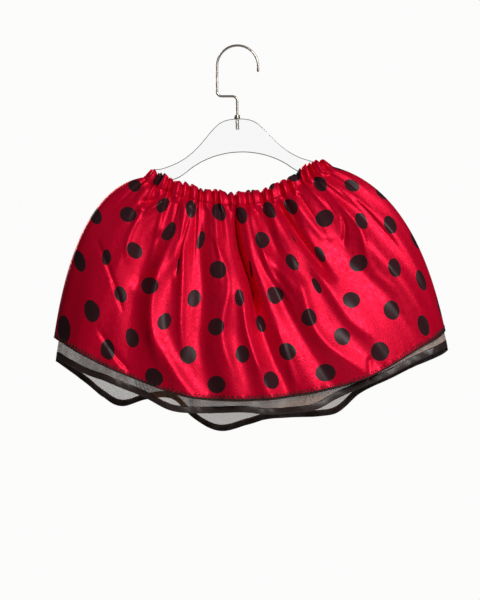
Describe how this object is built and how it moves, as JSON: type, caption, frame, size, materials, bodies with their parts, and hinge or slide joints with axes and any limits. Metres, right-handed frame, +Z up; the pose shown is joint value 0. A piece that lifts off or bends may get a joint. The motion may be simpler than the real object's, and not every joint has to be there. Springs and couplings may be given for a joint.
{
  "type": "tutu skirt on a hanger",
  "caption": "Gathered satin skirt with an elastic casing and a ribbon-edged net underskirt, held by a clear plate hanger with a wire hook.",
  "frame": {"origin": "the point inside the top of the hook that rests on a rail", "axes": "+Z up, +X to the viewer's right, -Y towards the viewer, out of the skirt's front"},
  "size_m": [0.5931, 0.133, 0.5814],
  "materials": {
    "red_satin": "glossy red satin with a common black polka dot",
    "grey_net": "see-through warm grey net",
    "black_ribbon": "brown-black satin ribbon",
    "clear_acrylic": "clear, with polished edges",
    "bright_steel": "bright drawn wire"
  },
  "bodies": {
    "root": {"casing_front": "red_satin", "casing_back": "red_satin", "satin_front": "red_satin", "satin_back": "red_satin", "net_front": "grey_net", "net_back": "grey_net", "ribbon_front": "black_ribbon", "ribbon_back": "black_ribbon", "hanger_plate": "clear_acrylic", "hanger_collar": "bright_steel", "hanger_hook": "bright_steel"}
  },
  "joints": []
}
